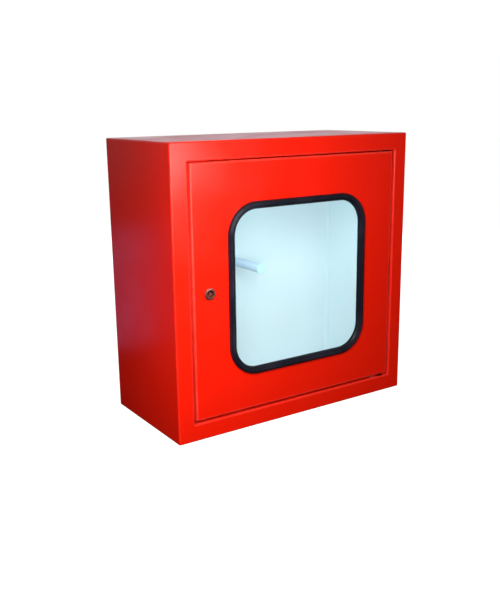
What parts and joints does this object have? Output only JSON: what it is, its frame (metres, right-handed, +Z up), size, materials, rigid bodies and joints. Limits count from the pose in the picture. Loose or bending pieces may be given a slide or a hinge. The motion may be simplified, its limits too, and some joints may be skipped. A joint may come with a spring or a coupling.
{
  "type": "fire hose cabinet",
  "caption": "Square wall cabinet of folded sheet steel for a fire hose, with a flush hinged door, a rubber-glazed window, a quarter-turn lock and a central peg.",
  "frame": {"origin": "middle of the base of the bounding box, on the plane the cabinet would stand on", "axes": "+Z up; +Y towards the wall behind the cabinet, so the door faces -Y; +X towards the hinge side, which is on the right as one faces the door"},
  "size_m": [0.6, 0.289, 0.6],
  "materials": {
    "red_paint": "gloss signal red powder coat with a slight orange peel",
    "white_paint": "satin cool white paint",
    "rubber": "semi-matt black extruded rubber",
    "foam": "matt black closed-cell foam",
    "glass": "clear float glass with a faint green-blue tint",
    "chrome": "worn satin chrome plate on the die-cast lock",
    "zinc": "bright zinc-plated steel",
    "dark_steel": "dark oiled steel with a trace of red overspray",
    "brass": "turned brass",
    "white_plastic": "white moulded polyethylene"
  },
  "bodies": {
    "root": {"cabinet_shell": "red_paint", "back_panel": "white_paint", "stop_rail_left": "red_paint", "stop_rail_top": "red_paint", "stop_rail_bottom": "red_paint", "hinge_side_rail": "red_paint", "door_seal_left": "foam", "door_seal_top": "foam", "door_seal_bottom": "foam", "upper_pivot_block": "dark_steel", "lower_pivot_block": "dark_steel", "upper_pivot_pin": "dark_steel", "lower_pivot_pin": "dark_steel", "lower_thrust_washer": "dark_steel", "peg_base_flange": "white_paint", "hose_peg": "white_paint", "peg_end_cap": "white_plastic"},
    "door": {"door_panel": "red_paint", "window_glass": "glass", "window_gasket": "rubber", "gasket_lock_strip": "rubber", "upper_pivot_bush": "brass", "lower_pivot_bush": "brass", "lock_housing": "chrome", "lock_gasket": "rubber", "lock_washer": "zinc", "lock_nut": "zinc"},
    "lock_rotor": {"lock_spindle": "chrome", "lock_cam": "zinc", "cam_washer": "zinc", "cam_screw": "zinc"}
  },
  "joints": [
    {"name": "door_hinge", "type": "hinge", "parent": "root", "child": "door", "pos_m": [0.243, -0.1265, 0.3], "axis": [0, 0, 1], "range_deg": [0, 120]},
    {"name": "lock_turn", "type": "hinge", "parent": "door", "child": "lock_rotor", "pos_m": [-0.222, -0.1365, 0.304], "axis": [0, 1, 0], "range_deg": [0, 90]}
  ]
}
